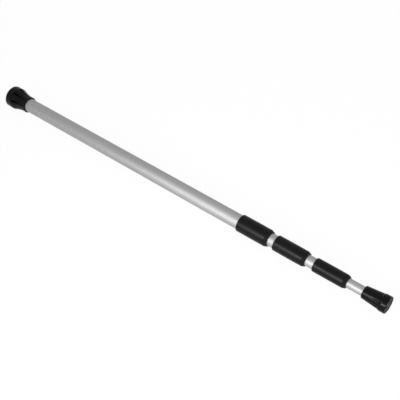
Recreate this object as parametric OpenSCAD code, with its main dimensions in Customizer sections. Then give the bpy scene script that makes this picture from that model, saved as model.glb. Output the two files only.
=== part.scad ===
// Telescopic boom pole: four aluminium tubes, three twist locks and a rubber foot on each end.
// The pole lies along +X, closed up, with the centre of its butt face at the origin and +Z up.

/* [Tubes] */
// Outer diameter of the butt tube
tube_od = 32; // [28:1:40]
// Wall of every tube
tube_wall = 1.2; // [1:0.1:1.6]
// Length of the butt tube
butt_tube_len = 713; // [400:1:1200]
// Bare tube between the first lock's nose and the second collar
gap_1 = 14; // [4:0.5:40]
// Bare tube between the second lock's nose and the third collar
gap_2 = 18; // [4:0.5:40]
// Bare tube between the third lock's nose and the tip cap
gap_3 = 35; // [4:0.5:80]
// Width of the key groove along the bottom of each bore
key_w = 3; // [2:0.5:5]
// Depth of the key groove
key_depth = 0.5; // [0.3:0.1:0.6]

/* [Guides and tails] */
// Wall of the nylon bush that guides each inner tube
bush_wall = 0.65; // [0.5:0.05:1]
// Length of each guide bush behind its tube's mouth
bush_len = 80; // [50:1:110]
// Thickness of the bush's flange over the tube's mouth
bush_flange = 1; // [0.6:0.1:2]
// Length of the flange on each tail plug
tail_flange = 8; // [5:0.5:14]
// Length of the tail plug's spigot inside its tube
tail_spigot = 22; // [12:1:40]
// Radius of the air hole through each tail plug
tail_vent_r = 4; // [2:0.5:5]
// Length of the stop ring in front of each tail flange
stop_ring_len = 3; // [2:0.5:6]

/* [Twist locks] */
// Length of each collar behind its tube's mouth
collar_back = 44; // [38:1:60]
// Wall of the threaded sleeve bonded to the tube
thread_wall = 0.9; // [0.7:0.05:1.2]
// Pitch of the thread
thread_pitch = 2; // [1.5:0.25:3]
// Depth of the thread
thread_depth = 0.4; // [0.2:0.05:0.6]
// Length of the thread
thread_len = 34; // [20:1:36]
// Wall of the lock nut over the thread
nut_wall = 0.9; // [0.7:0.05:1.5]
// Wall of the rubber grip sleeve
grip_wall = 0.9; // [0.5:0.05:1.2]
// Length of the grip's lip over the back of the nut
grip_lip = 1.2; // [0.8:0.1:2]
// Rounding of the grip's back edge
grip_round = 1.1; // [0.5:0.1:1.3]
// Fall in radius of the grip towards the nose
grip_taper = 0.2; // [0:0.05:0.5]
// Length of the tapered front of the grip
grip_taper_len = 26; // [10:1:40]
// Length of the split collet
collet_len = 15; // [13:0.5:24]
// Thickness of the collet at its thin ends
collet_lip = 0.8; // [0.5:0.1:1.2]
// Length of the cone at each end of the collet
cone_len = 5; // [3:0.5:6]
// Number of slits in the collet, cut from either end by turns
collet_slits = 6; // [4:2:12]
// Width of a collet slit
slit_w = 1.2; // [0.6:0.1:2]
// Solid length left at the root of a slit
slit_root = 3; // [2:0.5:5]
// Thickness of the threaded sleeve's lip round the collet's seat
seat_lip = 0.8; // [0.5:0.1:1.2]
// Length of the nut in front of the collet
nose_bore = 14.5; // [12:0.5:24]
// Length of the bare nose in front of the grip
nose_len = 7; // [5:0.5:14]
// Width of the ring at the front of the nose
nose_lip = 2.2; // [1.9:0.1:3]
// Width of the wiper ring
wiper_w = 3.4; // [2:0.2:5]
// Height of the wiper ring
wiper_h = 1.6; // [1:0.1:1.8]
// Distance of the wiper ring from the front of the nose
wiper_set = 4; // [2:0.5:6]

/* [Butt ferrule] */
// Diameter of the foot
foot_od = 50.8; // [46:0.2:60]
// Rounding of the foot's edge
foot_round = 4.5; // [2:0.5:6]
// Thickness of the sole
butt_sole = 10; // [7:0.5:14]
// Length of the foot before the flare
foot_len = 22.5; // [21:0.5:30]
// Length of the flare from the foot to the neck
flare_len = 31.5; // [20:0.5:50]
// Length of the plain neck
neck_len = 5.5; // [4:0.5:20]
// Wall of the neck
neck_wall = 3.2; // [2:0.1:4]
// Length of plain rim before the pockets
rim_len = 20.5; // [14:0.5:22]
// Width of the groove round the back of the rim
rim_groove_w = 1.8; // [1:0.2:3]
// Depth of the groove round the back of the rim
rim_groove_depth = 1.4; // [0.6:0.1:2.5]
// Radius of a pocket's round floor
pocket_r = 0.8; // [0.5:0.1:2]
// Draft of a pocket's sides, in widening for each unit of height
pocket_draft = 0.25; // [0.1:0.05:0.4]
// Rubber left between a pocket and the tube
pocket_wall = 1.6; // [1.2:0.1:2.4]
// Distance of the pockets from the mouth
pocket_stop = 3.5; // [2:0.5:6]

/* [Butt plug] */
// Thickness of the plug's flange behind the tube
plug_flange = 3; // [2:0.5:6]
// Length of the plug inside the tube
plug_len = 18; // [12:1:40]
// Wall of the hollow plug
plug_wall = 3; // [2:0.5:5]
// Thickness of the buffer that the second tube lands on
buffer_t = 6; // [3:0.5:12]
// Margin of the buffer inside the bore
buffer_margin = 1.5; // [1:0.5:4]

/* [Tip fitting] */
// Diameter of the stud
stud_d = 9.525; // [6:0.005:10]
// Length of stud in front of the insert
stud_show = 12; // [8:1:20]
// Length of stud inside the insert
stud_set = 16; // [10:1:24]
// Step in radius from the stud down to its pressed shank
shank_step = 0.5; // [0.2:0.1:1]
// Chamfer on the stud's front end
stud_chamfer = 0.8; // [0.4:0.1:1.5]
// Thickness of the insert's flange
insert_flange = 3; // [2:0.5:6]
// Thickness of the insert behind the stud
insert_back = 4; // [2:0.5:8]

/* [Tip cap] */
// Length of tube inside the cap
cap_grip = 26; // [20:1:50]
// Room between the stud and the washer
cap_room = 1; // [0.5:0.5:4]
// Thickness of the cap's sole
cap_sole = 9.5; // [6:0.5:14]
// Wall of the cap at its mouth
cap_wall = 3.2; // [2:0.1:4]
// Rise in radius from the mouth to the end of the cone
cap_rise = 3.3; // [2:0.1:5]
// Length of the fillet between the cone and the foot
cap_fillet = 7; // [4:0.5:10]
// Diameter of the cap's foot
cap_foot_od = 36.4; // [34:0.2:44]
// Length of the cap's foot
cap_foot_len = 11; // [8:0.5:16]
// Rounding of the cap's edges
cap_round = 1.6; // [0.8:0.2:2.4]
// Radius of a pocket's round floor
cap_pocket_r = 2.4; // [1.5:0.1:4]
// Draft of a pocket's sides, in widening for each unit of height
cap_pocket_draft = 0.1; // [0.05:0.05:0.4]
// Depth of each pocket below the end of the cone
cap_pocket_depth = 1.3; // [0.5:0.1:2]
// Length of each pocket
cap_pocket_len = 22; // [12:1:26]
// Length of plain rim beyond the pockets
cap_rim_len = 11; // [7:0.5:12]

/* [Soles and washers] */
// Number of pockets round each rubber end
pocket_count = 8; // [6:1:9]
// Turn of the butt ferrule's first pocket from the top
pocket_turn = 23.5; // [0:0.5:45]
// Turn of the tip cap's first pocket from the top
cap_pocket_turn = 41.5; // [0:0.5:45]
// Number of tread grooves across each sole
tread_count = 6; // [4:1:9]
// Turn of the first tread groove from the top
tread_turn = 8.5; // [0:0.5:60]
// Width of a tread groove
tread_w = 3.6; // [2:0.2:4]
// Depth of a tread groove
tread_depth = 2.4; // [1:0.1:3]
// Share of the sole's radius that the tread leaves plain in the middle
tread_hub = 0.4; // [0.35:0.05:0.7]
// Share of the sole's radius where the tread grooves end
tread_edge = 0.9; // [0.8:0.01:0.93]
// Thickness of the steel washers
washer_t = 2; // [1:0.25:3]
// Radius of the hole in the washers
washer_hole_r = 4; // [2:0.5:6]

/* [Clearances] */
// Bond line round a glued or pressed piece
bond_gap = 0.05; // [0.02:0.01:0.08]
// Running clearance of a sliding tube or plug
run_gap = 0.1; // [0.04:0.01:0.15]
// Clearance of the nut over the thread
twist_gap = 0.1; // [0.05:0.01:0.2]
// Clearance of the collet's cones in their seats
cone_gap = 0.1; // [0.05:0.01:0.2]
// Clearance between a tail and what it lands on
land_gap = 0.3; // [0.2:0.05:1]
// Clearance of the nose round the tube
nose_gap = 0.25; // [0.15:0.05:0.5]
// Room behind the collet in its seat
collet_room = 0.5; // [0.3:0.1:1]

/* [Hidden] */

RUBBER = "#1c1c1e";
BLACK_NUT = "#242427";
SILVER = "#b9bcc0";
NYLON = "#d8d4c8";
STEEL = "#8f9296";
round_fn = 96;
cut_fn = 48;
arc_steps = 8;
curve_steps = 6;
// Power of the nose's curve: 1 is a straight cone, more is fuller.
nose_bow = 1.1;
// Overrun of a cut past the face it opens.
over = 1;

// Each tube runs inside a bush in the one before it, so a tube and its fits set the next radius.
tube_drop = tube_wall + bond_gap + bush_wall + run_gap;
gaps = [gap_1, gap_2, gap_3];
tube_x = butt_sole + washer_t + plug_flange;
plug_end = tube_x + plug_len;
collet_x0 = bush_flange + collet_room;
collet_x1 = collet_x0 + collet_len;
collar_front = collet_x1 + nose_bore;
collar_len = collar_back + collar_front;
grip_end = collar_len - nose_len;
ferrule_len = foot_len + flare_len + neck_len;
shank_r = stud_d / 2 - shank_step;
cap_mouth = nose_x(3) + gap_3;
tip_end = cap_mouth + cap_grip;
stud_x = tip_end + insert_flange;
stud_tip = stud_x + stud_show;
cap_floor = stud_tip + cap_room + washer_t;
cap_end = cap_floor + cap_sole;
cap_len = cap_end - cap_mouth;

// Outer and bore radius of tube i, counted from 1 at the butt to 4 at the tip.
function tube_r(i) = tube_od / 2 - (i - 1) * tube_drop;
function bore_r(i) = tube_r(i) - tube_wall;

// Places along the pole: a tube's mouth, its collar's back and nose, and an inner tube's tail.
function mouth_x(i) = i == 1 ? tube_x + butt_tube_len : nose_x(i - 1) + gaps[i - 2] + collar_back;
function nose_x(i) = mouth_x(i) + collar_front;
function back_x(i) = mouth_x(i) - collar_back;
function tail_x(i) = i == 2 ? plug_end + buffer_t + land_gap
    : tail_x(i - 1) + tail_flange + tail_spigot + land_gap;

// Radii of lock i: thread crest, nut bore, nut and grip outsides, collet outside, nose bore and edge.
function thread_r(i) = tube_r(i) + bond_gap + thread_wall;
function nut_bore_r(i) = thread_r(i) + twist_gap;
function nut_r(i) = nut_bore_r(i) + nut_wall;
function grip_r(i) = nut_r(i) + bond_gap + grip_wall;
function collet_r(i) = thread_r(i) - seat_lip - cone_gap;
function collet_bore_r(i) = tube_r(i + 1) + run_gap;
function cone_end_r(i) = collet_bore_r(i) + collet_lip;
function nose_bore_r(i) = tube_r(i + 1) + nose_gap;
function nose_r(i) = nose_bore_r(i) + nose_lip;

// Points of a round stretch in a turned outline, from angle a0 to a1.
function arc(centre, r, a0, a1) = [
    for (k = [0:arc_steps])
        let (a = a0 + (a1 - a0) * k / arc_steps)
        centre + r * [cos(a), sin(a)]
];

// Turns an outline of [radius, distance along the pole] round the pole's axis.
module turned(x = 0) {
    translate([x, 0, 0])
        rotate([0, 90, 0])
            rotate_extrude($fn = round_fn)
                children();
}

// A plain ring from x0 to x1.
module ring(r_in, r_out, x0, x1) {
    turned()
        translate([r_in, x0])
            square([r_out - r_in, x1 - x0]);
}

// A drawn tube with a key groove along the bottom of its bore.
module drawn_tube(i, x0, x1, keyed = true) {
    color(SILVER)
        difference() {
            ring(bore_r(i), tube_r(i), x0, x1);
            if (keyed)
                translate([x0 - over, -key_w / 2, -bore_r(i) - key_depth])
                    cube([x1 - x0 + 2 * over, key_w, key_depth + over]);
        }
}

// Drafted slots along the pole that leave pockets between broad ribs, from x = 0.
module pockets(cut_r, draft, floor_r, top_r, length, turn) {
    height = top_r - floor_r;
    half_w = cut_r + draft * height;
    for (k = [0:pocket_count - 1])
        rotate([turn + k * 360 / pocket_count, 0, 0])
            translate([0, 0, floor_r + cut_r])
                rotate([90, 0, 90])
                    linear_extrude(length) {
                        circle(cut_r, $fn = cut_fn);
                        polygon([[-cut_r, 0], [cut_r, 0], [half_w, height], [-half_w, height]]);
                    }
}

// Grooves in a sole, from its plain middle to just inside its edge.
module tread(sole_r, x0) {
    for (k = [0:tread_count - 1])
        rotate([tread_turn + k * 360 / tread_count, 0, 0])
            translate([x0, -tread_w / 2, sole_r * tread_hub])
                cube([tread_depth + over, tread_w, sole_r * (tread_edge - tread_hub)]);
}

// Rubber foot on the butt: a grooved rim, then a flare to the neck with pockets between broad ribs.
module butt_ferrule() {
    foot_r = foot_od / 2;
    bore = tube_r(1) + bond_gap;
    neck_r = bore + neck_wall;
    lip = neck_wall / 3;
    pocket_len = ferrule_len - rim_len - pocket_stop;
    flare = [
        for (k = [1:curve_steps])
            let (t = k / curve_steps)
            [neck_r + (foot_r - neck_r) * pow(1 - t, 2), foot_len + flare_len * t]
    ];
    color(RUBBER)
        difference() {
            turned()
                polygon(concat(
                    [[0, 0]],
                    arc([foot_r - foot_round, foot_round], foot_round, -90, 0),
                    [[foot_r, foot_len]],
                    flare,
                    arc([neck_r - lip, ferrule_len - lip], lip, 0, 90),
                    [[bore, ferrule_len], [bore, butt_sole], [0, butt_sole]]
                ));
            ring(foot_r - rim_groove_depth, foot_r + over, rim_len - rim_groove_w, rim_len);
            translate([rim_len, 0, 0])
                pockets(pocket_r, pocket_draft, bore + pocket_wall, foot_r, pocket_len, pocket_turn);
            tread(foot_r, -over);
        }
}

// Steel disc that keeps the tube from cutting through the sole.
module butt_washer() {
    color(STEEL)
        ring(washer_hole_r, tube_r(1), butt_sole, butt_sole + washer_t);
}

// Hollow plug that closes the butt of the tube.
module butt_plug() {
    plug_r = bore_r(1) - bond_gap;
    color(BLACK_NUT)
        difference() {
            union() {
                ring(0, tube_r(1), tube_x - plug_flange, tube_x);
                ring(0, plug_r, tube_x - over, plug_end);
            }
            ring(0, plug_r - plug_wall, tube_x - plug_flange - over, plug_end - plug_wall);
        }
}

// Soft pad that the second tube's tail lands on.
module butt_buffer() {
    color(RUBBER)
        ring(tail_vent_r, bore_r(1) - buffer_margin, plug_end, plug_end + buffer_t);
}

// Sleeve bonded round a tube's mouth, threaded outside and with a cone for the collet in front.
module thread_sleeve(i) {
    crest = thread_r(i);
    bore = tube_r(i) + bond_gap;
    start = grip_lip - collar_back;
    front = collet_x0 + cone_len - land_gap;
    seat_fall = (collet_r(i) - cone_end_r(i)) / cone_len;
    seat_big = collet_r(i) + cone_gap - seat_fall * land_gap;
    seat_small = cone_end_r(i) + cone_gap - seat_fall * collet_room;
    turns = floor(thread_len / thread_pitch);
    grooves = [
        for (k = [1:turns])
            let (x = start + (k + 1) * thread_pitch)
            for (p = [[0, -thread_depth], [-thread_depth, 0], [0, thread_depth]])
                [crest + p[0], x + p[1]]
    ];
    color(SILVER)
        turned(mouth_x(i))
            polygon(concat(
                [[bore, start], [crest, start]],
                grooves,
                [[crest, front], [seat_big, front], [seat_small, bush_flange], [bore, bush_flange]]
            ));
}

// Nylon liner in a tube's mouth: it guides the inner tube and stops its tail.
module guide_bush(i) {
    bore = tube_r(i + 1) + run_gap;
    color(NYLON)
        turned(mouth_x(i))
            polygon([
                [bore, -bush_len], [bore + bush_wall, -bush_len], [bore + bush_wall, 0],
                [tube_r(i), 0], [tube_r(i), bush_flange], [bore, bush_flange]
            ]);
}

// Split collet with a cone at each end, slit from the front and the back by turns.
module collet(i) {
    bore = collet_bore_r(i);
    color(NYLON)
        difference() {
            turned(mouth_x(i))
                polygon([
                    [bore, collet_x0], [cone_end_r(i), collet_x0],
                    [collet_r(i), collet_x0 + cone_len], [collet_r(i), collet_x1 - cone_len],
                    [cone_end_r(i), collet_x1], [bore, collet_x1]
                ]);
            for (k = [0:collet_slits - 1])
                rotate([k * 360 / collet_slits, 0, 0])
                    translate([
                        mouth_x(i) + collet_x0 + (k % 2 == 0 ? slit_root : -slit_root),
                        -slit_w / 2,
                        bore / 2
                    ])
                        cube([collet_len, slit_w, collet_r(i)]);
        }
}

// Lock nut: plain bore over the thread, a cone that squeezes the collet, and a bare tapered nose.
module lock_nut(i) {
    bore = nut_bore_r(i);
    nose_bore_i = nose_bore_r(i);
    cone_x1 = collar_back + collet_x1;
    cone_x0 = cone_x1 - cone_len;
    wiper_x1 = collar_len - wiper_set + bond_gap;
    wiper_x0 = wiper_x1 - wiper_w - 2 * bond_gap;
    wiper_r = tube_r(i + 1) + run_gap + wiper_h + bond_gap;
    nose_root = grip_r(i) - grip_taper;
    edge = nose_lip / 4;
    nose = [
        for (k = [0:curve_steps])
            let (t = k / curve_steps)
            let (r = nose_root + (nose_r(i) - nose_root) * pow(t, nose_bow))
            [r, grip_end + edge / 2 + (nose_len - edge) * t]
    ];
    color(BLACK_NUT)
        turned(back_x(i))
            polygon(concat(
                [[bore, grip_lip], [nut_r(i), grip_lip], [nut_r(i), grip_end - grip_taper_len]],
                [[nut_r(i) - grip_taper, grip_end], [nose_root - edge / 2, grip_end]],
                nose,
                [[nose_r(i) - edge, collar_len], [nose_bore_i, collar_len], [nose_bore_i, wiper_x1]],
                [[wiper_r, wiper_x1], [wiper_r, wiper_x0], [nose_bore_i, wiper_x0]],
                [[nose_bore_i, cone_x1], [cone_end_r(i) + cone_gap, cone_x1]],
                [[collet_r(i) + cone_gap, cone_x0], [bore, cone_x0]]
            ));
}

// Rubber sleeve over the nut, with a lip over its back and a slight taper to the nose.
module grip_sleeve(i) {
    outer = grip_r(i);
    inner = nut_r(i) + bond_gap;
    lip_r = nut_bore_r(i);
    seam = grip_wall / 2;
    color(RUBBER)
        turned(back_x(i))
            polygon(concat(
                [[lip_r, 0]],
                arc([outer - grip_round, grip_round], grip_round, -90, 0),
                [[outer, grip_end - grip_taper_len], [outer - grip_taper, grip_end - seam]],
                [[outer - grip_taper - seam, grip_end], [inner - grip_taper, grip_end]],
                [[inner, grip_end - grip_taper_len], [inner, grip_lip], [lip_r, grip_lip]]
            ));
}

// Ring in the nose that wipes the inner tube.
module wiper_ring(i) {
    bore = tube_r(i + 1) + run_gap;
    x1 = nose_x(i) - wiper_set;
    color(RUBBER)
        ring(bore, bore + wiper_h, x1 - wiper_w, x1);
}

// Plug in an inner tube's tail, with a flange and key that run in the bore round it.
module tail_plug(i) {
    x0 = tail_x(i);
    flange_r = bore_r(i - 1) - run_gap;
    key_top = bore_r(i - 1) + key_depth - run_gap;
    color(NYLON)
        difference() {
            union() {
                ring(0, flange_r, x0, x0 + tail_flange);
                ring(0, bore_r(i) - bond_gap, x0 + over, x0 + tail_flange + tail_spigot);
                translate([x0, run_gap - key_w / 2, -key_top])
                    cube([tail_flange, key_w - 2 * run_gap, key_top - tail_vent_r]);
            }
            ring(0, tail_vent_r, x0 - over, x0 + tail_flange + tail_spigot + over);
        }
}

// Ring on an inner tube that meets the guide bush when the tube is fully out.
module stop_ring(i) {
    x0 = tail_x(i) + tail_flange;
    color(RUBBER)
        ring(tube_r(i) + bond_gap, bore_r(i - 1) - run_gap, x0, x0 + stop_ring_len);
}

// Insert that closes the tip tube and holds the stud.
module tip_insert() {
    back = stud_x - stud_set - insert_back;
    color(SILVER)
        difference() {
            union() {
                ring(0, bore_r(4) - bond_gap, back, tip_end + over);
                ring(0, tube_r(4), tip_end, stud_x);
            }
            ring(0, shank_r + bond_gap, back + insert_back, stud_x + over);
        }
}

// Stud under the tip cap that takes a shock mount, with its shank pressed into the insert.
module tip_stud() {
    stud_r = stud_d / 2;
    color(STEEL)
        turned()
            polygon([
                [0, stud_x - stud_set], [shank_r, stud_x - stud_set], [shank_r, stud_x],
                [stud_r, stud_x], [stud_r, stud_tip - stud_chamfer],
                [stud_r - stud_chamfer, stud_tip], [0, stud_tip]
            ]);
}

// Rubber cap pushed over the tip: a long cone with a foot and shallow pockets.
module tip_cap() {
    bore = tube_r(4) + run_gap;
    mouth_r = bore + cap_wall;
    cone_r = mouth_r + cap_rise;
    foot_r = cap_foot_od / 2;
    lip = cap_wall / 3;
    foot_x = cap_len - cap_foot_len;
    cone_x = foot_x - cap_fillet;
    cone_slope = cap_rise / (cone_x - lip);
    fillet = [
        for (k = [0:curve_steps])
            let (t = k / curve_steps)
            let (swell = (foot_r - cone_r) * (3 - 2 * t) * t * t)
            let (lead = cone_slope * cap_fillet * t * pow(1 - t, 2))
            [cone_r + swell + lead, cone_x + cap_fillet * t]
    ];
    color(RUBBER)
        difference() {
            turned(cap_mouth)
                polygon(concat(
                    [[bore, 0]],
                    arc([mouth_r - lip, lip], lip, -90, 0),
                    fillet,
                    arc([foot_r - cap_round, cap_len - cap_round], cap_round, 0, 90),
                    [[0, cap_len], [0, cap_len - cap_sole], [bore, cap_len - cap_sole]]
                ));
            translate([cap_end - cap_rim_len, 0, 0])
                rotate([0, 0, 180])
                    pockets(
                        cap_pocket_r, cap_pocket_draft, cone_r - cap_pocket_depth,
                        foot_r, cap_pocket_len, cap_pocket_turn
                    );
            tread(foot_r, cap_end - tread_depth);
        }
}

// Steel disc inside the cap that the stud can't punch through.
module cap_washer() {
    color(STEEL)
        ring(washer_hole_r, tube_r(4), cap_floor - washer_t, cap_floor);
}

butt_ferrule();
butt_washer();
butt_plug();
butt_buffer();
drawn_tube(1, tube_x, mouth_x(1));  // butt_tube
drawn_tube(2, tail_x(2) + tail_flange, mouth_x(2));  // tube_2
drawn_tube(3, tail_x(3) + tail_flange, mouth_x(3));  // tube_3
drawn_tube(4, tail_x(4) + tail_flange, tip_end, false);  // tip_tube
for (i = [1:3]) {
    thread_sleeve(i);
    guide_bush(i);
    collet(i);
    lock_nut(i);
    grip_sleeve(i);
    wiper_ring(i);
}
for (i = [2:4]) {
    tail_plug(i);
    stop_ring(i);
}
tip_insert();
tip_stud();
tip_cap();
cap_washer();
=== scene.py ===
"""Dresses the packed frame of a boom pole: tubes, twist-lock collars, rubber ends and a pale studio."""

import math

import bpy
import numpy as np
from bpy.props import FloatProperty, FloatVectorProperty, IntProperty, PointerProperty
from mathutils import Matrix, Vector


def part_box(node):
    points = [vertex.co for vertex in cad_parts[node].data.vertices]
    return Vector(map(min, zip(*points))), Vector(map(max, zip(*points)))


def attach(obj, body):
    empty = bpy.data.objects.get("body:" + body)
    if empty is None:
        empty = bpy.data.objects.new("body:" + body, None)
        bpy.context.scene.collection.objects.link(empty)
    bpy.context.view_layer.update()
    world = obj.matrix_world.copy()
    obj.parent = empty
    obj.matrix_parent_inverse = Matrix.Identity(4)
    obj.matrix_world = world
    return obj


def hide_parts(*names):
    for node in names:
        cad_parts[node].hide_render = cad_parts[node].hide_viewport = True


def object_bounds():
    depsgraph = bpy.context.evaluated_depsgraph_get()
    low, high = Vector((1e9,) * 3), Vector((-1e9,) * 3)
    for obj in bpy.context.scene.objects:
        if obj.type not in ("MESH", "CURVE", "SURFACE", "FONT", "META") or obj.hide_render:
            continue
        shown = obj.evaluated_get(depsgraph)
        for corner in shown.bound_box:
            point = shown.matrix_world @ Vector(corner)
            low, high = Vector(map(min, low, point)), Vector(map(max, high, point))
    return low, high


bl_info = {
    "name": "Boom Pole Maker",
    "version": (1, 0, 0),
    "blender": (4, 5, 0),
    "location": "3D View > Sidebar > Boom Pole",
    "description": "Models a telescopic boom pole over its packed frame and sets it in a pale studio",
    "category": "Add Mesh",
}

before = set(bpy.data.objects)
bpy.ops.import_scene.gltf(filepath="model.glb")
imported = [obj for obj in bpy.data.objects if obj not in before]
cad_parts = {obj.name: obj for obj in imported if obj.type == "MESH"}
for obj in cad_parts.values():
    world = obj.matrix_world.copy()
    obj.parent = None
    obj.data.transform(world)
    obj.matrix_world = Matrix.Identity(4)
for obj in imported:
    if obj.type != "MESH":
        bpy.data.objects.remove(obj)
CAD_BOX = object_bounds()

MM = 0.001
FULL_TURN = 2 * math.pi
TUBES = ("butt_tube", "tube_2", "tube_3", "tip_tube")
TUBE_BODIES = ("butt_section", "section_2", "section_3", "tip_section")
LOCKS = (1, 2, 3)

# Points nearer than this become one
WELD = 0.002 * MM
# How far a cutting tool reaches past what it cuts
OVERRUN = 1 * MM
# Rounding of a rubber mouth, as a share of its wall
LIP_SHARE = 1 / 3
# Steps that narrow down how deep a pocket is at a point
HALVINGS = 40
# Most of a noise texture lies between these two values
NOISE_LOW = 0.3
NOISE_HIGH = 0.7


def length(name, description, default):
    """A size in metres."""
    return FloatProperty(
        name=name, description=description, default=default, min=0, unit="LENGTH", precision=5)


def angle(name, description, default):
    """An angle in radians, shown in degrees."""
    return FloatProperty(name=name, description=description, default=default, unit="ROTATION")


def plain(name, description, default):
    """A number with no unit."""
    return FloatProperty(name=name, description=description, default=default, min=0)


def count(name, description, default):
    """A whole number."""
    return IntProperty(name=name, description=description, default=default, min=1)


def tint(name, description, default):
    """A linear colour."""
    return FloatVectorProperty(
        name=name, description=description, default=default, subtype="COLOR", min=0, max=1)


def place(name, description, default):
    """A point in metres."""
    return FloatVectorProperty(
        name=name, description=description, default=default, subtype="XYZ", unit="LENGTH")


class TubeSettings(bpy.types.PropertyGroup):
    """Sizes and finish of the four drawn tubes."""

    sides: count("Sides", "Faces round a tube", 96)
    wall: length("Wall", "Thickness of the tube wall", 1.2 * MM)
    edge: length("Edge", "Chamfer on the cut ends", 0.3 * MM)
    key_w: length("Key width", "Width of the groove along the bore that stops the next tube turning", 3 * MM)
    key_depth: length("Key depth", "Depth of that groove", 0.5 * MM)
    light: tint("Light metal", "Paler streaks of the satin anodising", (0.445, 0.445, 0.45))
    dark: tint("Dark metal", "Darker streaks of the satin anodising", (0.39, 0.39, 0.395))


class CollarSettings(bpy.types.PropertyGroup):
    """Sizes and finish of the twist-lock collars."""

    sides: count("Sides", "Faces round a collar", 96)
    skin: length("Skin", "Thickness of the rubber sleeve over the nut", 0.9 * MM)
    lip: length("Lip", "How far the sleeve folds over the back of the nut", 1.2 * MM)
    back_round: length("Back rounding", "Rounding at the back of the sleeve", 1.1 * MM)
    taper: length("Taper", "How much the sleeve narrows towards the nose", 0.2 * MM)
    taper_len: length("Taper length", "Length of that taper", 26 * MM)
    seam: length("Seam", "Chamfer where the sleeve meets the nose", 0.32 * MM)
    seat: length("Seat", "Room between the nut and what is fixed to it", 0.05 * MM)
    nut_wall: length("Nut wall", "Wall of the nut behind its cone", 0.9 * MM)
    nose_lip: length("Nose lip", "Wall at the front of the nose", 2.2 * MM)
    nose_edge: length("Nose edge", "Rounding at the front of the nose", 0.6 * MM)
    nose_bow: plain("Nose bow", "How full the nose's curve is", 1.1)
    nose_steps: count("Nose steps", "Faces along the nose's curve", 24)
    bore_edge: length("Bore edge", "Chamfer at the front of the nose's bore", 0.2 * MM)
    gap: length("Gap", "Room between the nut and what turns in it", 0.25 * MM)
    rubber: tint("Sleeve rubber", "Colour of the rubber sleeve", (0.0022, 0.0022, 0.0023))
    nose: tint("Nose", "Colour of the black anodised nut", (0.005, 0.005, 0.0053))


class FootSettings(bpy.types.PropertyGroup):
    """Sizes and finish of the flared rubber foot on the butt."""

    sides: count("Sides", "Faces round the foot", 640)
    edge_round: length("Edge rounding", "Rounding round the sole", 4.5 * MM)
    rim_len: length("Rim", "Length of the straight rim, rounding included", 22.5 * MM)
    flare_len: length("Flare", "Length of the curve from the rim to the neck", 31.5 * MM)
    neck_wall: length("Neck wall", "Rubber over the tube at the neck", 3.2 * MM)
    fit_gap: length("Fit gap", "Room between the rubber and the tube", 0.05 * MM)
    mouth_edge: length("Mouth edge", "Chamfer inside the mouth of either rubber end", 0.3 * MM)
    sole: length("Sole", "Rubber under the end of the tube", 10 * MM)
    groove_w: length("Groove width", "Width of the groove round the back of the rim", 1.8 * MM)
    groove_depth: length("Groove depth", "Depth of that groove", 1.4 * MM)
    pocket_r: length("Pocket radius", "Half the width of a pocket at its floor", 0.8 * MM)
    draft: plain("Draft", "How much a pocket widens for each unit of its height", 0.25)
    pocket_start: length("Pocket start", "Distance of the pockets from the sole", 20.5 * MM)
    pocket_stop: length("Pocket stop", "Distance of the pockets from the mouth", 3.5 * MM)
    pocket_wall: length("Pocket wall", "Rubber left between a pocket and the tube", 1.6 * MM)
    bore_wall: length("Bore wall", "Rubber round the bore that the pockets leave alone", 0.5 * MM)
    pockets: count("Pockets", "Pockets round the foot", 8)
    turn: angle("Turn", "Angle of the first pocket from the top", math.radians(23.5))
    soften: length("Softening", "How softly the pocket edges are moulded", 0.9 * MM)
    tread_count: count("Tread", "Grooves in the sole", 6)
    tread_turn: angle("Tread turn", "Angle of the first tread groove from the top", math.radians(8.5))
    tread_w: length("Tread width", "Width of a tread groove", 3.6 * MM)
    tread_depth: length("Tread depth", "Depth of a tread groove", 2.4 * MM)
    tread_hub: plain("Tread hub", "Share of the sole's radius that the tread leaves plain", 0.4)
    tread_edge: plain("Tread edge", "Share of the sole's radius where the tread ends", 0.9)
    rubber: tint("Rubber", "Colour of the moulded rubber", (0.0016, 0.0016, 0.0017))
    # The soles' lighter colour is dust, and also painted light that brightens the end faces
    dust_and_painted_light: tint("Dust", "Colour of the scuffed soles", (0.06, 0.06, 0.062))
    dust_rough: plain("Dust roughness", "How much rougher the scuffed soles are", 0.45)
    dust_and_light_full: length("Full dust", "How far in from the sole the dust stays at its thickest", 0.05 * MM)
    dust_and_light_end: length("End of the dust", "How far in from the sole the dust ends", 0.25 * MM)


class CapSettings(bpy.types.PropertyGroup):
    """Sizes of the conical rubber cap on the tip."""

    sides: count("Sides", "Faces round the cap", 400)
    mouth_wall: length("Mouth wall", "Rubber over the tube at the mouth", 3.2 * MM)
    fit_gap: length("Fit gap", "Room between the rubber and the tube", 0.1 * MM)
    cone_len: length("Cone", "Length of the cone from the mouth", 35.5 * MM)
    cone_r: length("Cone radius", "Radius at the wide end of the cone", 16.6 * MM)
    blend_len: length("Blend", "Length of the curve from the cone to the rim", 7 * MM)
    end_round: length("End rounding", "Rounding round the sole", 1.6 * MM)
    sole: length("Sole", "Rubber over the bore", 9.5 * MM)
    pocket_r: length("Pocket radius", "Half the width of a pocket at its floor", 2.4 * MM)
    pocket_floor: length("Pocket floor", "Radius of the pocket floor from the axis", 15.3 * MM)
    pocket_start: length("Pocket start", "Distance of the pockets from the sole", 11 * MM)
    draft: plain("Draft", "How much a pocket widens for each unit of its height", 0.1)
    turn: angle("Turn", "Angle of the first pocket from the top", math.radians(3.5))


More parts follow.
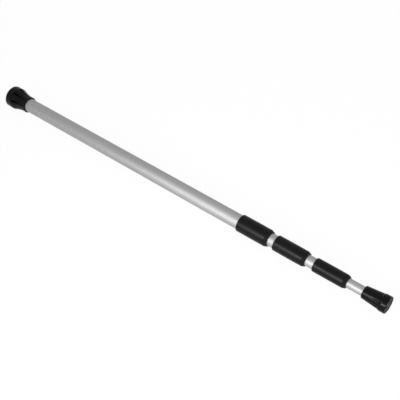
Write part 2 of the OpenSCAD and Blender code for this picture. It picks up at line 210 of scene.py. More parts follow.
class StudSettings(bpy.types.PropertyGroup):
    """Thread of the stud under the cap."""

    sides: count("Sides", "Faces round the thread", 48)
    pitch: length("Pitch", "Rise of one turn of the thread", 1.5875 * MM)
    depth: length("Depth", "Depth of the thread", 0.9 * MM)
    flat: plain("Flat", "Width of a crest or a root, as a share of the pitch", 0.18)
    flank: plain("Flank", "Width of a flank, as a share of the pitch", 0.32)
    lead: count("Lead", "Turns of thread made past each end, to be cut off", 2)
    spare: plain("Spare", "Thread left past each end for the last cut, as a share of the pitch", 0.3)
    shank_r: length("Shank radius", "Radius of the pressed shank", 4.2625 * MM)
    shank_len: length("Shank", "Length of the pressed shank", 16 * MM)
    chamfer: length("Chamfer", "Chamfer at the end of the stud", 0.8 * MM)


class StageSettings(bpy.types.PropertyGroup):
    """Camera, floor and light."""

    lens: plain("Lens", "Focal length in millimetres", 76.5)
    sensor: plain("Sensor", "Width of the camera's sensor in millimetres", 36)
    azimuth: angle("Azimuth", "Camera's turn round the pole", math.radians(38.54))
    elevation: angle("Elevation", "Camera's height over the floor", math.radians(44.5))
    distance: length("Distance", "From the camera to what it looks at", 1.794)
    sight: length("Sight", "How far the camera sees", 200)
    look_at: place("Look at", "Point in the middle of the picture", (0.577, 0, 0.0004))
    middle: place("Middle", "Point over the floor's middle, where the fill light points", (0.5, 0, 0))
    floor_size: length("Floor", "Side of the floor", 40)
    floor: tint("Floor", "Colour of the floor", (0.93, 0.93, 0.93))
    glow: plain("Floor glow", "Share of the floor that shows as plain white", 0.95)
    sky: plain("Sky", "Level of the light from all round", 0.78)
    key_place: place("Key place", "Middle of the large soft light", (0.6, -1.04, 0.46))
    key_aim: place("Key aim", "Where the soft light points", (0.87, 0, 0))
    key_width: length("Key width", "Longer side of the soft light", 0.78)
    key_height: length("Key height", "Shorter side of the soft light", 0.4)
    key_power: plain("Key power", "Watts of the soft light", 3.5)
    key_spread: angle("Key spread", "How widely the soft light throws", math.radians(90))
    fill_place: place("Fill place", "Middle of the fill light", (2.6, -0.4, 1.8))
    fill_side: length("Fill side", "Side of the fill light", 1.2)
    fill_power: plain("Fill power", "Watts of the fill light", 4)


class Finish:
    """A procedural material being put together, on Object coordinates."""

    def __init__(self, name, metallic, specular):
        self.material = bpy.data.materials.new(name)
        self.material.use_nodes = True
        self.tree = self.material.node_tree
        self.shader = next(n for n in self.tree.nodes if n.type == "BSDF_PRINCIPLED")
        self.shader.inputs["Metallic"].default_value = metallic
        self.shader.inputs["Specular IOR Level"].default_value = specular
        self.coords = self.add("ShaderNodeTexCoord").outputs["Object"]

    def add(self, kind, **inputs):
        """A new node with its inputs set, or linked where a socket is given. An underscore is a space."""
        node = self.tree.nodes.new(kind)
        for name, value in inputs.items():
            self.join(value, node.inputs[name.replace("_", " ")])
        return node

    def join(self, value, socket):
        """Sets a socket to a value, or links one to it."""
        if isinstance(value, bpy.types.NodeSocket):
            self.tree.links.new(value, socket)
        else:
            socket.default_value = value

    def grain(self, per_metre, detail=3.0):
        """Noise with so many waves per metre along X, Y and Z."""
        spread = self.add("ShaderNodeMapping", Vector=self.coords, Scale=per_metre).outputs[0]
        noise = self.add("ShaderNodeTexNoise", Vector=spread, Scale=1.0, Detail=detail, Roughness=0.55)
        return noise.outputs[0]

    def rings(self, per_metre, distortion=0.6):
        """Lathe rings along X."""
        wave = self.add("ShaderNodeTexWave", Vector=self.coords, Scale=per_metre, Detail=2.0)
        self.join(distortion, wave.inputs["Distortion"])
        return wave.outputs["Fac"]

    def span(self, factor, low, high, start=NOISE_LOW, end=NOISE_HIGH):
        """Stretches a factor between two values."""
        ends = {"From_Min": start, "From_Max": end, "To_Min": low, "To_Max": high}
        return self.add("ShaderNodeMapRange", Value=factor, **ends).outputs[0]

    def maths(self, operation, first, second):
        """Works on two numbers."""
        node = self.add("ShaderNodeMath")
        node.operation = operation
        self.join(first, node.inputs[0])
        self.join(second, node.inputs[1])
        return node.outputs[0]

    def colour(self, factor, dark, light):
        """Runs the base colour from dark to light."""
        ramp = self.add("ShaderNodeValToRGB", Fac=factor)
        first, last = ramp.color_ramp.elements
        first.position = NOISE_LOW
        first.color = (*dark, 1)
        last.position = NOISE_HIGH
        last.color = (*light, 1)
        self.join(ramp.outputs[0], self.shader.inputs["Base Color"])

    def over(self, factor, rgb):
        """Lays a colour over the base colour."""
        base = self.shader.inputs["Base Color"]
        under = base.links[0].from_socket
        mix = self.add("ShaderNodeMixRGB", Fac=factor, Color1=under, Color2=(*rgb, 1))
        self.join(mix.outputs[0], base)

    def rough(self, factor, low, high):
        """Runs the roughness between two values."""
        self.join(self.span(factor, low, high), self.shader.inputs["Roughness"])

    def bump(self, factor, strength, depth):
        """Gives the surface relief."""
        node = self.add("ShaderNodeBump", Height=factor, Strength=strength, Distance=depth)
        self.join(node.outputs[0], self.shader.inputs["Normal"])


def shade(rgb, share):
    """A colour made darker or lighter."""
    return tuple(c * share for c in rgb)


def anodised_tube(settings):
    """Satin anodised aluminium, drawn along the tube, with faint handling marks."""
    finish = Finish("satin anodised tube", metallic=1, specular=0.5)
    streaks = finish.grain((5, 700, 700), detail=4)
    clouds = finish.grain((30, 60, 60), detail=2)
    finish.colour(streaks, settings.dark, settings.light)
    finish.rough(clouds, low=0.58, high=0.66)
    finish.bump(streaks, strength=0.05, depth=0.02 * MM)
    return finish.material


def turned_aluminium():
    """Aluminium as it comes off the lathe."""
    finish = Finish("turned aluminium", metallic=1, specular=0.5)
    rings = finish.rings(900)
    finish.colour(rings, dark=(0.60, 0.61, 0.62), light=(0.70, 0.70, 0.71))
    finish.rough(finish.grain((120, 120, 120)), low=0.24, high=0.36)
    finish.bump(rings, strength=0.2, depth=0.02 * MM)
    return finish.material


def smooth_rubber(settings):
    """The sleeve's satin rubber: a faint skin grain and a little dust."""
    finish = Finish("satin sleeve rubber", metallic=0, specular=0.145)
    clouds = finish.grain((45, 70, 70))
    finish.colour(clouds, shade(settings.rubber, share=0.8), shade(settings.rubber, share=1.25))
    finish.rough(clouds, low=0.35, high=0.42)
    finish.bump(finish.grain((1400, 1400, 1400), detail=2), strength=0.10, depth=0.04 * MM)
    return finish.material


def black_anodised(settings):
    """Black anodised aluminium with fine turning marks."""
    finish = Finish("black anodised nut", metallic=0, specular=0.12)
    rings = finish.rings(1300, distortion=0.3)
    clouds = finish.grain((60, 90, 90))
    finish.colour(clouds, shade(settings.nose, share=0.85), shade(settings.nose, share=1.2))
    finish.rough(finish.grain((200, 200, 200)), low=0.46, high=0.54)
    finish.bump(rings, strength=0.08, depth=0.02 * MM)
    return finish.material


def moulded_rubber(settings):
    """The ends' moulded rubber: a fine spark-eroded grain, and lighter soles that are partly dust and partly
    painted light.
    """
    finish = Finish("moulded foot rubber", metallic=0, specular=0.12)
    clouds = finish.grain((60, 60, 60), detail=4)
    finish.colour(clouds, shade(settings.rubber, share=0.75), shade(settings.rubber, share=1.3))
    half_pole = (CAD_BOX[1].x - CAD_BOX[0].x) / 2
    along = finish.add("ShaderNodeSeparateXYZ", Vector=finish.coords).outputs[0]
    from_middle = finish.maths("ADD", along, -CAD_BOX[0].x - half_pole)
    reach = finish.maths("ABSOLUTE", from_middle, 0)
    dust_and_light_end = half_pole - settings.dust_and_light_end
    # Lighter colour on the flat soles: dust, and also painted light that brightens the end faces
    dust_and_light_mask = finish.span(reach, low=0, high=1, start=dust_and_light_end, end=half_pole - settings.dust_and_light_full)
    finish.over(dust_and_light_mask, settings.dust_and_painted_light)
    clean = finish.span(clouds, low=0.22, high=0.3)
    added = finish.maths("MULTIPLY", dust_and_light_mask, settings.dust_rough)
    finish.join(finish.maths("ADD", clean, added), finish.shader.inputs["Roughness"])
    finish.bump(finish.grain((900, 900, 900)), strength=0.06, depth=0.05 * MM)
    return finish.material


def plain_rubber():
    """Soft black rings."""
    finish = Finish("soft ring rubber", metallic=0, specular=0.4)
    clouds = finish.grain((200, 200, 200))
    finish.colour(clouds, dark=(0.016, 0.016, 0.017), light=(0.028, 0.028, 0.03))
    finish.rough(clouds, low=0.55, high=0.7)
    finish.bump(finish.grain((1500, 1500, 1500)), strength=0.15, depth=0.04 * MM)
    return finish.material


def natural_nylon():
    """Milky moulded nylon."""
    finish = Finish("natural nylon", metallic=0, specular=0.5)
    clouds = finish.grain((90, 90, 90))
    finish.colour(clouds, dark=(0.74, 0.72, 0.66), light=(0.84, 0.82, 0.77))
    finish.rough(clouds, low=0.38, high=0.5)
    finish.bump(finish.grain((1100, 1100, 1100)), strength=0.08, depth=0.03 * MM)
    finish.shader.inputs["Subsurface Weight"].default_value = 0.15
    finish.shader.inputs["Subsurface Scale"].default_value = 1.5 * MM
    return finish.material


def black_plastic():
    """Moulded black plastic."""
    finish = Finish("black moulded plastic", metallic=0, specular=0.5)
    clouds = finish.grain((120, 120, 120))
    finish.colour(clouds, dark=(0.018, 0.018, 0.018), light=(0.03, 0.03, 0.03))
    finish.rough(clouds, low=0.4, high=0.52)
    finish.bump(finish.grain((1300, 1300, 1300)), strength=0.12, depth=0.03 * MM)
    return finish.material


def zinc_steel():
    """Bright zinc-plated steel."""
    finish = Finish("zinc plated steel", metallic=1, specular=0.5)
    clouds = finish.grain((260, 260, 260), detail=4)
    finish.colour(clouds, dark=(0.50, 0.51, 0.53), light=(0.62, 0.63, 0.64))
    finish.rough(clouds, low=0.22, high=0.36)
    finish.bump(finish.grain((1800, 900, 900)), strength=0.06, depth=0.02 * MM)
    return finish.material


def only(piece):
    """Selects one object and makes it the active one."""
    bpy.ops.object.select_all(action="DESELECT")
    piece.select_set(True)
    bpy.context.view_layer.objects.active = piece


def start_outline(name, x, r):
    """A new piece that is one point, at a radius over the X axis, and is left in edit mode."""
    bpy.ops.object.select_all(action="DESELECT")
    bpy.ops.mesh.primitive_plane_add(size=MM, location=(x, 0, r))
    bpy.ops.object.transform_apply()
    piece = bpy.context.object
    piece.name = name
    piece.data.name = name
    bpy.ops.object.mode_set(mode="EDIT")
    bpy.ops.mesh.merge(type="CENTER")
    return piece


def draw_on(along, outwards):
    """Draws an outline on from its last point."""
    bpy.ops.mesh.extrude_region_move(TRANSFORM_OT_translate={"value": (along, 0, outwards)})


def turn(name, outline, sides):
    """Turns an outline of (x, radius) points round the X axis into one piece."""
    piece = start_outline(name, *outline[0])
    for (x, r), (next_x, next_r) in zip(outline, outline[1:]):
        draw_on(next_x - x, next_r - r)
    bpy.ops.mesh.select_all(action="SELECT")
    bpy.ops.mesh.spin(steps=sides, angle=FULL_TURN, center=(0, 0, 0), axis=(1, 0, 0))
    bpy.ops.mesh.select_all(action="SELECT")
    bpy.ops.mesh.remove_doubles(threshold=WELD)
    bpy.ops.mesh.normals_make_consistent(inside=False)
    bpy.ops.object.mode_set(mode="OBJECT")
    return piece


def add_box(low, high):
    """A box between two corners, for cutting with."""
    bpy.ops.object.select_all(action="DESELECT")
    middle = [(a + b) / 2 for a, b in zip(low, high)]
    sides = [b - a for a, b in zip(low, high)]
    bpy.ops.mesh.primitive_cube_add(size=1, location=middle, scale=sides)
    bpy.ops.object.transform_apply()
    return bpy.context.object


def cut(piece, tool, operation="DIFFERENCE"):
    """Cuts a piece with a tool, takes the tool away, and makes sure that the piece is still closed."""
    only(piece)
    step = piece.modifiers.new("cut", "BOOLEAN")
    step.object = tool
    step.operation = operation
    step.solver = "EXACT"
    bpy.ops.object.modifier_apply(modifier=step.name)
    bpy.data.objects.remove(tool)
    bpy.ops.object.mode_set(mode="EDIT")
    bpy.ops.mesh.select_all(action="DESELECT")
    bpy.ops.mesh.select_non_manifold()
    bpy.ops.object.mode_set(mode="OBJECT")
    if not piece.data.polygons or any(vertex.select for vertex in piece.data.vertices):
        raise RuntimeError(f"the cut left {piece.name} open or empty")


def complete(piece, body, nodes, material, smooth_angle=35):
    """Shades a piece, gives it its material, and seats it on its body."""
    only(piece)
    bpy.ops.object.shade_smooth_by_angle(angle=math.radians(smooth_angle))
    piece.data.materials.clear()
    piece.data.materials.append(material)
    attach(piece, body)
    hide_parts(*nodes)


def paint(nodes, material):
    """Gives frame nodes a material."""
    for node in nodes:
        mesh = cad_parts[node].data
        mesh.materials.clear()
        mesh.materials.append(material)


def run(start, end, step):
    """Places from start to end, evenly spaced by about a step, without the start itself."""
    pieces = max(1, round(abs(end - start) / step))
    return [start + (end - start) * k / pieces for k in range(1, pieces + 1)]


def arc(centre_x, centre_r, radius, start, end, pieces):
    """Points round an arc, from one angle in degrees to another, where 0 is +X and 90 is outwards."""
    turns = [math.radians(start + (end - start) * k / pieces) for k in range(pieces + 1)]
    return [(centre_x + radius * math.cos(a), centre_r + radius * math.sin(a)) for a in turns]


def soft_larger(a, b, soften):
    """The larger of two values, rounded over where they are alike."""
    near = np.maximum(soften - np.abs(a - b), 0) / soften
    return np.maximum(a, b) + near * near * soften / 4


def press_pockets(piece, pocket, number, soften, floor_r, start_x, end_x, least_r):
    """Presses soft-edged pockets into a turned piece. Each is a slot along X with a round floor and ends."""
    mesh = piece.data
    points = np.empty(len(mesh.vertices) * 3)
    mesh.vertices.foreach_get("co", points)
    points = points.reshape(-1, 3)
    skin = np.hypot(points[:, 1], points[:, 2])
    picked = np.flatnonzero(skin > least_r)
    x = points[picked, 0]
    top = skin[picked]
    # The turn of each point from the middle of its nearest pocket
    sector = FULL_TURN / number
    turned = np.arctan2(-points[picked, 1], points[picked, 2]) - pocket.turn
    turned = (turned + sector / 2) % sector - sector / 2
    # A pocket's ends run out over twice its radius
    radius = pocket.pocket_r
    run_out = 2 * radius
    past_end = np.maximum(start_x + run_out - x, x + run_out - end_x)
    beyond = np.maximum(past_end, 0) * radius / run_out
    # Between low, which is rubber, and high, which is air, halving finds the new skin
    low = np.minimum(top, floor_r - soften)
    high = top.copy()
    for _ in range(HALVINGS):
        middle = (low + high) / 2
        above = middle * np.cos(turned) - floor_r - radius
        across = np.abs(middle * np.sin(turned)) - pocket.draft * np.maximum(above, 0)
        sideways = np.hypot(beyond, np.maximum(across, 0))
        outside = np.hypot(sideways, np.minimum(above, 0)) - radius
        is_air = soft_larger(middle - top, -outside, soften) > 0
        high = np.where(is_air, middle, high)
        low = np.where(is_air, low, middle)
    points[picked, 1:] *= (high / top)[:, None]
    mesh.vertices.foreach_set("co", points.ravel())
    mesh.update()


def cut_tread(piece, settings, sole_r, low_x, high_x):
    """Cuts round-cornered tread grooves in a sole, from its plain middle to just inside its edge."""
    half = settings.tread_w / 2
    low = (low_x, -half, sole_r * settings.tread_hub)
    tool = add_box(low, (high_x, half, sole_r * settings.tread_edge))
    bpy.ops.object.mode_set(mode="EDIT")
    bpy.ops.mesh.select_mode(type="EDGE")
    bpy.ops.mesh.select_all(action="DESELECT")
    bpy.ops.object.mode_set(mode="OBJECT")
    for edge in tool.data.edges:
        a, b = (tool.data.vertices[k].co for k in edge.vertices)
        edge.select = abs(a.x - b.x) > settings.tread_depth / 2
    bpy.ops.object.mode_set(mode="EDIT")
    bpy.ops.mesh.bevel(offset=half / 2, segments=4, affect="EDGES")
    bpy.ops.mesh.select_mode(type="VERT")
    bpy.ops.mesh.select_all(action="SELECT")
    step = FULL_TURN / settings.tread_count
    bpy.ops.transform.rotate(value=-settings.tread_turn, orient_axis="X", center_override=(0, 0, 0))
    for _ in range(settings.tread_count - 1):
        bpy.ops.mesh.duplicate()
        bpy.ops.transform.rotate(value=-step, orient_axis="X", center_override=(0, 0, 0))
    bpy.ops.object.mode_set(mode="OBJECT")
    cut(piece, tool)


class POLE_OT_tubes(bpy.types.Operator):
    """Models the four drawn tubes, hollow, with chamfered ends and key grooves"""

    bl_idname = "pole.tubes"
    bl_label = "Tubes"
    bl_options = {"REGISTER", "UNDO"}

    def execute(self, context):
        size = context.scene.pole_tubes
        metal = anodised_tube(size)
        for node, body in zip(TUBES, TUBE_BODIES):
            tube = self.tube(size, node)
            complete(tube, body, [node], metal)
        return {"FINISHED"}

    def tube(self, size, node):
        """One tube, which has a key groove along its bore where another tube runs in it."""
        low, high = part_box(node)
        edge = size.edge
        r = high.y
        bore = r - size.wall
        outline = [(low.x, r - edge), (low.x + edge, r), (high.x - edge, r), (high.x, r - edge)]
        outline += [(high.x, bore + edge), (high.x - edge, bore)]
        outline += [(low.x + edge, bore), (low.x, bore + edge), (low.x, r - edge)]
        tube = turn(f"{node}_drawn", outline, size.sides)
        if node != TUBES[-1]:
            half = size.key_w / 2
            groove_low = (low.x - OVERRUN, -half, -bore - size.key_depth)
            groove_high = (high.x + OVERRUN, half, -bore + size.key_depth)
            cut(tube, add_box(groove_low, groove_high))
        return tube


class POLE_OT_collars(bpy.types.Operator):
    """Models the three twist-lock collars: a nut with a bowed nose, under a rubber sleeve"""

    bl_idname = "pole.collars"
    bl_label = "Twist-lock collars"
    bl_options = {"REGISTER", "UNDO"}

    def execute(self, context):
        size = context.scene.pole_collars
        rubber = smooth_rubber(size)
        black = black_anodised(size)
        for i in LOCKS:
            complete(self.sleeve(size, i), f"lock_{i}", [f"grip_sleeve_{i}"], rubber)
            complete(self.nut(size, i), f"lock_{i}", [f"lock_nut_{i}"], black)
        return {"FINISHED"}

    def sleeve(self, size, i):
        """The rubber sleeve, folded over the nut's back."""
        low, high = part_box(f"grip_sleeve_{i}")
        back, front, r = low.x, high.x, high.y
        inner = r - size.skin
        lip_r = inner - size.nut_wall
        taper_x = front - size.taper_len
        front_r = r - size.taper
        rounding = size.back_round
        outline = [(back, lip_r)]
        outline += arc(back + rounding, r - rounding, rounding, start=180, end=90, pieces=10)
        outline += [(taper_x, r), (front - size.seam, front_r), (front, front_r - size.seam)]
        outline += [(front, inner - size.taper), (taper_x, inner), (back + size.lip, inner)]
        outline += [(back + size.lip, lip_r), (back, lip_r)]
        return turn(f"grip_sleeve_{i}_rubber", outline, size.sides)

    def nut(self, size, i):
        """The nut, whose bowed nose stands out of the sleeve."""
        low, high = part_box(f"lock_nut_{i}")
        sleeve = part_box(f"grip_sleeve_{i}")[1]
        wiper_low, wiper_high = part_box(f"wiper_ring_{i}")
        collet_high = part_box(f"collet_{i}")[1]
        front = sleeve.x
        root = sleeve.y - size.taper
        skirt = sleeve.y - size.skin - size.seat
        bore = skirt - size.nut_wall
        nose_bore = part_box(TUBES[i])[1].y + size.gap
        nose_r = nose_bore + size.nose_lip
        edge = size.nose_edge
        outline = [(low.x, bore), (low.x, skirt), (front - size.taper_len, skirt)]
        outline += [(front, skirt - size.taper), (front, root - edge / 2)]
        nose_x = front + edge / 2
        nose_len = high.x - edge - nose_x
        for k in range(size.nose_steps + 1):
            t = k / size.nose_steps
            outline.append((nose_x + nose_len * t, root + (nose_r - root) * t**size.nose_bow))
        outline += arc(high.x - edge, nose_r - edge, edge, start=60, end=0, pieces=6)
        outline += [(high.x, nose_bore + size.bore_edge), (high.x - size.bore_edge, nose_bore)]
        groove_r = wiper_high.y + size.seat
        outline += [(wiper_high.x, nose_bore), (wiper_high.x, groove_r)]
        outline += [(wiper_low.x, groove_r), (wiper_low.x, nose_bore)]
        cone_x = collet_high.x + size.gap
        outline += [(cone_x, nose_bore), (cone_x, collet_high.y), (low.x, bore)]
        return turn(f"lock_nut_{i}_turned", outline, size.sides)


class POLE_OT_butt_foot(bpy.types.Operator):
    """Models the flared rubber foot on the butt, with its pockets and tread"""

    bl_idname = "pole.butt_foot"
    bl_label = "Butt foot"
    bl_options = {"REGISTER", "UNDO"}

    def execute(self, context):
        size = context.scene.pole_foot
        mouth_x, foot_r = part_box("butt_ferrule")[1].xy
        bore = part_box("butt_tube")[1].y + size.fit_gap
        foot = turn("butt_foot_rubber", self.outline(size, mouth_x, foot_r, bore), size.sides)
        press_pockets(
            foot, size, size.pockets, size.soften, floor_r=bore + size.pocket_wall,
            start_x=size.pocket_start, end_x=mouth_x - size.pocket_stop, least_r=bore + size.bore_wall)
        cut_tread(foot, size, foot_r, low_x=-OVERRUN, high_x=size.tread_depth)
        rubber = moulded_rubber(size)
        complete(foot, "butt_section", ["butt_ferrule"], rubber, smooth_angle=40)
        return {"FINISHED"}

    def outline(self, size, mouth_x, foot_r, bore):
        """From the middle of the sole over the rim and the flare to the mouth, and back along the bore."""
        rounding = size.edge_round
        neck_r = bore + size.neck_wall
        flare_end = size.rim_len + size.flare_len
        groove_x = size.pocket_start - size.groove_w
        lip = size.neck_wall * LIP_SHARE
        edge = size.mouth_edge
        points = [(0, 0)] + [(0, r) for r in run(0, foot_r - rounding, step=3 * MM)]
        points += arc(rounding, foot_r - rounding, rounding, start=180, end=90, pieces=14)[1:]
        points += [(x, foot_r) for x in run(rounding, groove_x, step=1.5 * MM)]
        for x in run(groove_x, size.pocket_start, step=0.15 * MM):
            dip = (1 - math.cos(FULL_TURN * (x - groove_x) / size.groove_w)) / 2
            points.append((x, foot_r - size.groove_depth * dip))
        points += [(x, foot_r) for x in run(size.pocket_start, size.rim_len, step=0.3 * MM)]
        for x in run(size.rim_len, flare_end, step=0.5 * MM):
            rest = (flare_end - x) / size.flare_len
            points.append((x, neck_r + (foot_r - neck_r) * rest * rest))
        points += [(x, neck_r) for x in run(flare_end, mouth_x - lip, step=1 * MM)]
        points += arc(mouth_x - lip, neck_r - lip, lip, start=90, end=0, pieces=6)[1:]
        points += [(mouth_x, bore + edge), (mouth_x - edge, bore), (size.sole, bore), (size.sole, 0)]
        return points


class POLE_OT_tip_cap(bpy.types.Operator):
    """Models the conical rubber cap on the tip, with its pockets and tread"""

    bl_idname = "pole.tip_cap"
    bl_label = "Tip cap"
    bl_options = {"REGISTER", "UNDO"}

    def execute(self, context):
        size = context.scene.pole_cap
        foot_size = context.scene.pole_foot
        low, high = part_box("tip_cap")
        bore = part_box("tip_tube")[1].y + size.fit_gap
        outline = self.outline(size, low.x, high, bore, foot_size.mouth_edge)
        cap = turn("tip_cap_rubber", outline, size.sides)
        press_pockets(
            cap, size, foot_size.pockets, foot_size.soften, floor_r=size.pocket_floor,
            start_x=low.x, end_x=high.x - size.pocket_start, least_r=bore + foot_size.bore_wall)
        cut_tread(cap, foot_size, high.y, low_x=high.x - foot_size.tread_depth, high_x=high.x + OVERRUN)
        rubber = bpy.data.materials.get("moulded foot rubber") or moulded_rubber(foot_size)
        complete(cap, "tip_cap", ["tip_cap"], rubber, smooth_angle=40)
        return {"FINISHED"}

    def outline(self, size, mouth_x, high, bore, edge):
        """From the end of the bore back to the mouth, and over the cone and the rim to the sole."""
        sole_x, rim_r = high.xy
        mouth_r = bore + size.mouth_wall
        cone_end = mouth_x + size.cone_len
        rim_start = cone_end + size.blend_len
        slope = (size.cone_r - mouth_r) / size.cone_len
        lip = size.mouth_wall * LIP_SHARE
        rounding = size.end_round
        bore_end = sole_x - size.sole
        points = [(bore_end, 0), (bore_end, bore), (mouth_x + edge, bore), (mouth_x, bore + edge)]
        points += arc(mouth_x + lip, mouth_r - lip, lip, start=180, end=95, pieces=6)
        for x in run(mouth_x + lip, cone_end, step=0.6 * MM):
            points.append((x, mouth_r + slope * (x - mouth_x)))
        # The blend leaves the cone along its slope and meets the rim level
        for x in run(cone_end, rim_start, step=0.35 * MM):
            t = (x - cone_end) / size.blend_len
            rise = (rim_r - size.cone_r) * (3 - 2 * t) * t * t
            points.append((x, size.cone_r + rise + slope * size.blend_len * t * (1 - t) ** 2))
        points += [(x, rim_r) for x in run(rim_start, sole_x - rounding, step=0.5 * MM)]
        points += arc(sole_x - rounding, rim_r - rounding, rounding, start=90, end=0, pieces=8)[1:]
        points += [(sole_x, r) for r in run(rim_r - rounding, 0, step=3 * MM)]
        return points


class POLE_OT_tip_stud(bpy.types.Operator):
    """Models the threaded stud that the cap covers"""

    bl_idname = "pole.tip_stud"
    bl_label = "Tip stud"
    bl_options = {"REGISTER", "UNDO"}

    def execute(self, context):
        size = context.scene.pole_stud
        low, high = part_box("tip_stud")
        r = high.y
        stud = self.thread(size, low.x, high.x, r)
        shank_end = low.x + size.shank_len
        blank = [(low.x, 0), (low.x, size.shank_r), (shank_end, size.shank_r), (shank_end, r)]
        blank += [(high.x - size.chamfer, r), (high.x, r - size.chamfer), (high.x, 0)]
        cut(stud, turn("stud_blank", blank, 2 * size.sides), operation="INTERSECT")
        complete(stud, "tip_section", ["tip_stud"], zinc_steel(), smooth_angle=30)
        return {"FINISHED"}

    def thread(self, size, start_x, end_x, r):
        """A closed length of thread, a little longer than the stud at both ends."""
        first_x = start_x - size.lead * size.pitch
        stud = start_outline("tip_stud_threaded", first_x, r - size.depth)
        flat = size.flat * size.pitch
        flank = size.flank * size.pitch
        for along, outwards in ((flat, 0), (flank, size.depth), (flat, 0), (flank, -size.depth)):
            draw_on(along, outwards)
        bpy.ops.object.mode_set(mode="OBJECT")
        coil = stud.modifiers.new("thread", "SCREW")
        coil.axis = "X"
        coil.screw_offset = size.pitch
        coil.iterations = math.ceil((end_x - first_x) / size.pitch) + size.lead
        coil.steps = size.sides
        coil.render_steps = size.sides
        coil.use_merge_vertices = True
        coil.merge_threshold = WELD
        only(stud)
        bpy.ops.object.modifier_apply(modifier=coil.name)
        bpy.ops.object.mode_set(mode="EDIT")
        bpy.ops.mesh.select_all(action="SELECT")
        bpy.ops.mesh.remove_doubles(threshold=WELD)
        spare = size.spare * size.pitch
        for x, facing in ((start_x - spare, -1), (end_x + spare, 1)):
            bpy.ops.mesh.select_all(action="SELECT")
            bpy.ops.mesh.bisect(
                plane_co=(x, 0, 0), plane_no=(facing, 0, 0), use_fill=True, clear_outer=True)
        bpy.ops.mesh.select_all(action="SELECT")
        bpy.ops.mesh.normals_make_consistent(inside=False)
        bpy.ops.object.mode_set(mode="OBJECT")
        return stud


class POLE_OT_inner_parts(bpy.types.Operator):
    """Finishes the parts inside, whose frame solids already have their shape"""

    bl_idname = "pole.inner_parts"
    bl_label = "Inner parts"
    bl_options = {"REGISTER", "UNDO"}

    def execute(self, context):
        tails = [i + 1 for i in LOCKS]
        steel = bpy.data.materials.get("zinc plated steel") or zinc_steel()
        paint(["butt_washer", "cap_washer"], steel)
        paint([f"thread_sleeve_{i}" for i in LOCKS] + ["tip_insert"], turned_aluminium())
        paint(["butt_plug"], black_plastic())
        nylon = natural_nylon()
        paint([f"guide_bush_{i}" for i in LOCKS] + [f"collet_{i}" for i in LOCKS], nylon)
        paint([f"tail_plug_{i}" for i in tails], nylon)
        soft = plain_rubber()
        paint(["butt_buffer"] + [f"wiper_ring_{i}" for i in LOCKS], soft)
        paint([f"stop_ring_{i}" for i in tails], soft)
        return {"FINISHED"}


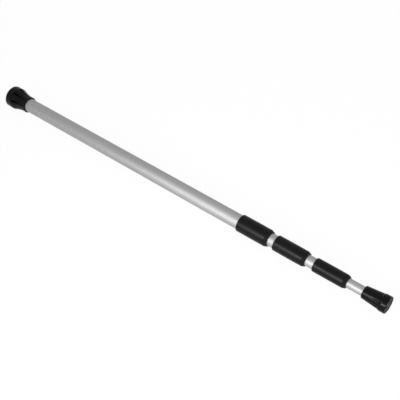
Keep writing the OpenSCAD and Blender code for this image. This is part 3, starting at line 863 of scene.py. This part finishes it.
class POLE_OT_stage(bpy.types.Operator):
    """Sets the pole on a pale floor in soft light, seen from the front and above"""

    bl_idname = "pole.stage"
    bl_label = "Studio"
    bl_options = {"REGISTER", "UNDO"}

    def execute(self, context):
        studio = context.scene.pole_stage
        context.scene.view_settings.view_transform = "Standard"
        self.floor(studio)
        self.sky(context, studio)
        key_size = (studio.key_width, studio.key_height)
        key = self.lamp("key light", studio.key_place, studio.key_aim, key_size, studio.key_power)
        key.data.spread = studio.key_spread
        fill_size = (studio.fill_side, studio.fill_side)
        self.lamp("fill light", studio.fill_place, studio.middle, fill_size, studio.fill_power)
        self.camera(context, studio)
        return {"FINISHED"}

    def camera(self, context, studio):
        """The camera, turned and raised round the point that it looks at."""
        back = Vector((math.sin(studio.azimuth), -math.cos(studio.azimuth), 0))
        back *= math.cos(studio.elevation)
        back.z = math.sin(studio.elevation)
        bpy.ops.object.camera_add(location=Vector(studio.look_at) + back * studio.distance)
        camera = bpy.context.object
        camera.name = "camera"
        camera.rotation_euler = back.to_track_quat("Z", "Y").to_euler()
        camera.data.lens = studio.lens
        camera.data.sensor_width = studio.sensor
        camera.data.clip_end = studio.sight
        context.scene.camera = camera

    def lamp(self, name, spot, aim, size, power):
        """A soft rectangular light."""
        bpy.ops.object.light_add(type="AREA", location=spot)
        lamp = bpy.context.object
        lamp.name = name
        lamp.rotation_euler = (Vector(spot) - Vector(aim)).to_track_quat("Z", "Y").to_euler()
        lamp.data.shape = "RECTANGLE"
        lamp.data.size, lamp.data.size_y = size
        lamp.data.energy = power
        return lamp

    def floor(self, studio):
        """The pale floor, under the pole."""
        bpy.ops.object.select_all(action="DESELECT")
        spot = (studio.middle[0], studio.middle[1], CAD_BOX[0].z)
        bpy.ops.mesh.primitive_plane_add(size=studio.floor_size, location=spot)
        bpy.ops.object.transform_apply()
        floor = bpy.context.object
        floor.name = "floor"
        floor.data.materials.append(self.pale(studio))

    def pale(self, studio):
        """The floor's material, which shows near white and keeps the pole's shadow."""
        material = bpy.data.materials.new("pale floor")
        material.use_nodes = True
        nodes = material.node_tree.nodes
        links = material.node_tree.links
        nodes.clear()
        matte = nodes.new("ShaderNodeBsdfDiffuse")
        matte.inputs["Color"].default_value = (*studio.floor, 1)
        white = nodes.new("ShaderNodeEmission")
        rays = nodes.new("ShaderNodeLightPath")
        seen = rays.outputs["Is Camera Ray"]
        for other in ("Is Glossy Ray", "Is Transmission Ray"):
            larger = nodes.new("ShaderNodeMath")
            larger.operation = "MAXIMUM"
            links.new(seen, larger.inputs[0])
            links.new(rays.outputs[other], larger.inputs[1])
            seen = larger.outputs[0]
        share = nodes.new("ShaderNodeMath")
        share.operation = "MULTIPLY"
        share.inputs[1].default_value = studio.glow
        links.new(seen, share.inputs[0])
        mix = nodes.new("ShaderNodeMixShader")
        links.new(share.outputs[0], mix.inputs[0])
        links.new(matte.outputs[0], mix.inputs[1])
        links.new(white.outputs[0], mix.inputs[2])
        links.new(mix.outputs[0], nodes.new("ShaderNodeOutputMaterial").inputs["Surface"])
        return material

    def sky(self, context, studio):
        """Even light from all round."""
        world = context.scene.world or bpy.data.worlds.new("sky")
        context.scene.world = world
        world.use_nodes = True
        air = next(n for n in world.node_tree.nodes if n.type == "BACKGROUND")
        air.inputs["Color"].default_value = (1, 1, 1, 1)
        air.inputs["Strength"].default_value = studio.sky


class POLE_PT_maker(bpy.types.Panel):
    """Lists the steps that make the pole, and their settings"""

    bl_idname = "POLE_PT_maker"
    bl_label = "Boom Pole"
    bl_space_type = "VIEW_3D"
    bl_region_type = "UI"
    bl_category = "Boom Pole"

    def draw(self, context):
        for step in STEPS:
            self.layout.operator(step.bl_idname)
        for name, group in SETTINGS.items():
            box = self.layout.box()
            box.label(text=group.__doc__)
            for key in group.__annotations__:
                box.prop(getattr(context.scene, name), key)


SETTINGS = {
    "pole_tubes": TubeSettings,
    "pole_collars": CollarSettings,
    "pole_foot": FootSettings,
    "pole_cap": CapSettings,
    "pole_stud": StudSettings,
    "pole_stage": StageSettings,
}
STEPS = (
    POLE_OT_stage,
    POLE_OT_tubes,
    POLE_OT_collars,
    POLE_OT_butt_foot,
    POLE_OT_tip_cap,
    POLE_OT_tip_stud,
    POLE_OT_inner_parts,
)


def register():
    """Makes the settings, the steps and the panel known to Blender."""
    for name, group in SETTINGS.items():
        bpy.utils.register_class(group)
        setattr(bpy.types.Scene, name, PointerProperty(type=group))
    for step in STEPS:
        bpy.utils.register_class(step)
    bpy.utils.register_class(POLE_PT_maker)


def unregister():
    """Takes them away again."""
    bpy.utils.unregister_class(POLE_PT_maker)
    for step in reversed(STEPS):
        bpy.utils.unregister_class(step)
    for name, group in SETTINGS.items():
        delattr(bpy.types.Scene, name)
        bpy.utils.unregister_class(group)


def main():
    """Makes the whole pole and its studio."""
    register()
    bpy.ops.pole.stage()
    bpy.ops.pole.tubes()
    bpy.ops.pole.collars()
    bpy.ops.pole.butt_foot()
    bpy.ops.pole.tip_cap()
    bpy.ops.pole.tip_stud()
    bpy.ops.pole.inner_parts()


if __name__ == "__main__":
    main()
